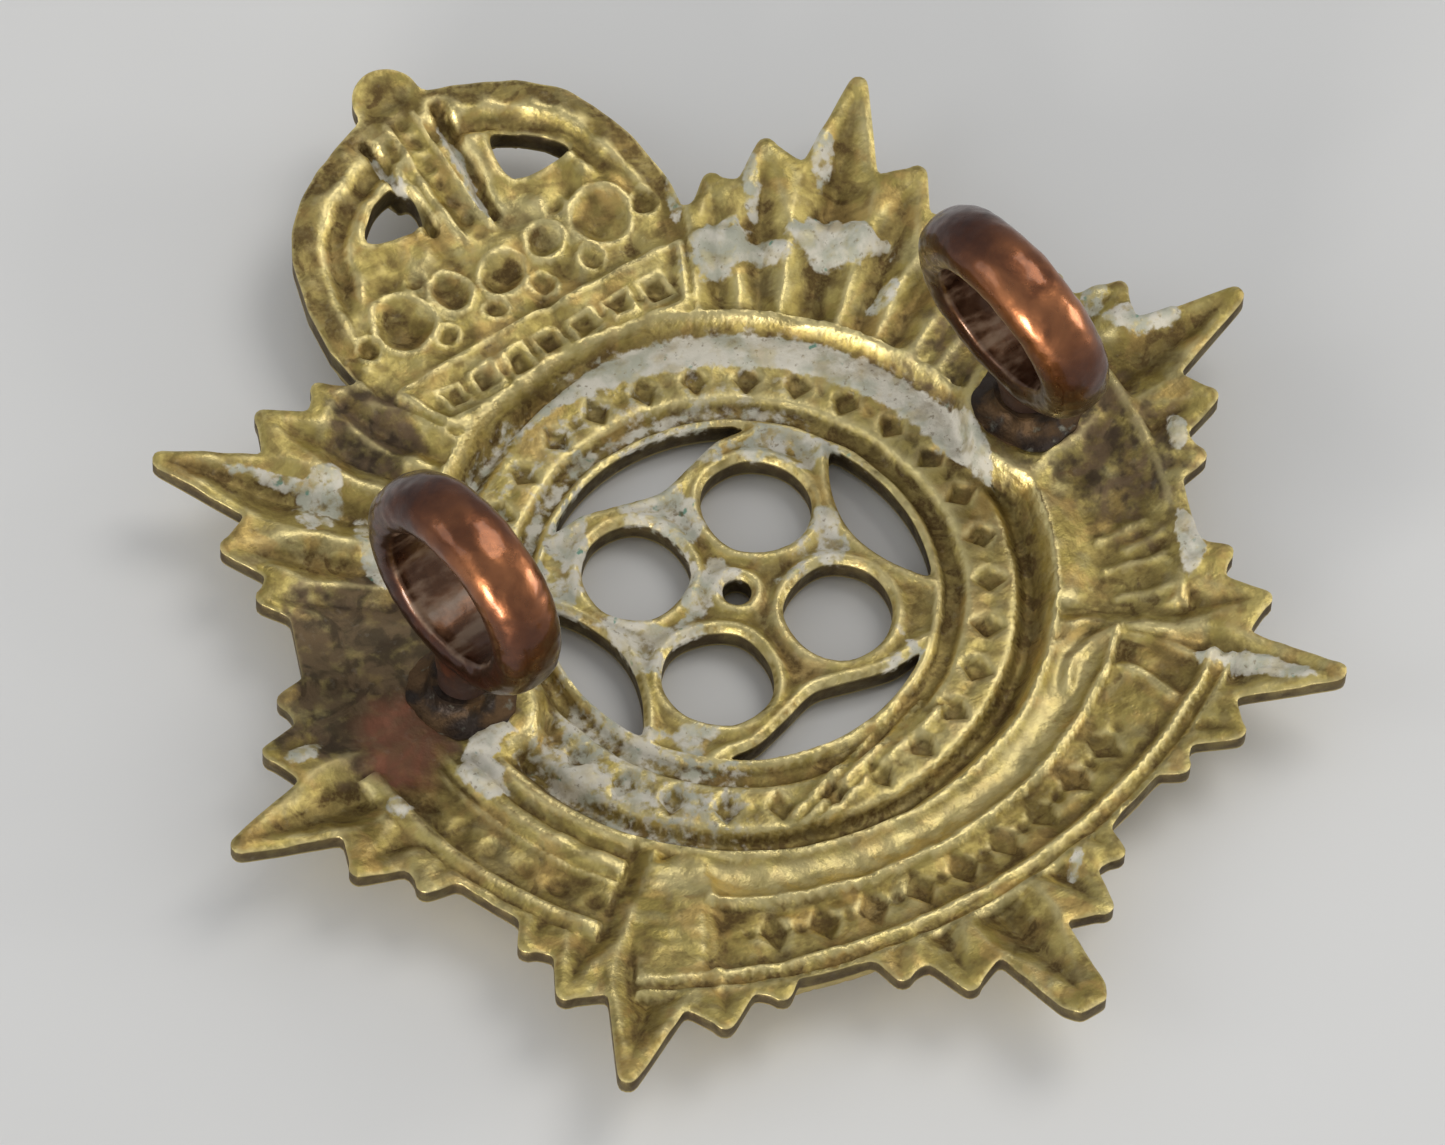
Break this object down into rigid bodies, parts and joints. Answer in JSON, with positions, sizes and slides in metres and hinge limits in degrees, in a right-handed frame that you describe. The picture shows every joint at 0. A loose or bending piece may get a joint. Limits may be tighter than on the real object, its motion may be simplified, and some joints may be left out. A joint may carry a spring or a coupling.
{
  "type": "cap badge",
  "caption": "Die-struck star cap badge with a crown and a pierced centre, hollow at the back, where two brazed wire loops stand to hold it on a cap.",
  "frame": {"origin": "level with the lowest point of the front relief, under the centre of the badge's outline", "axes": "the badge lies on its front: +Z is the back, where the loops stand, +Y points to the crown, and +X is to the right as seen from the back"},
  "size_m": [0.0436, 0.0468, 0.0141],
  "materials": {
    "plate_brass": "aged gilding brass, dull olive gold with bright worn edges and pale polish residue in the hollows",
    "loop_copper": "dark red-brown copper wire, worn bright along its crown",
    "braze_metal": "dull sooty brown brazing filler"
  },
  "bodies": {
    "root": {"badge_plate": "plate_brass", "left_loop": "loop_copper", "right_loop": "loop_copper", "left_braze": "braze_metal", "right_braze": "braze_metal"}
  },
  "joints": []
}
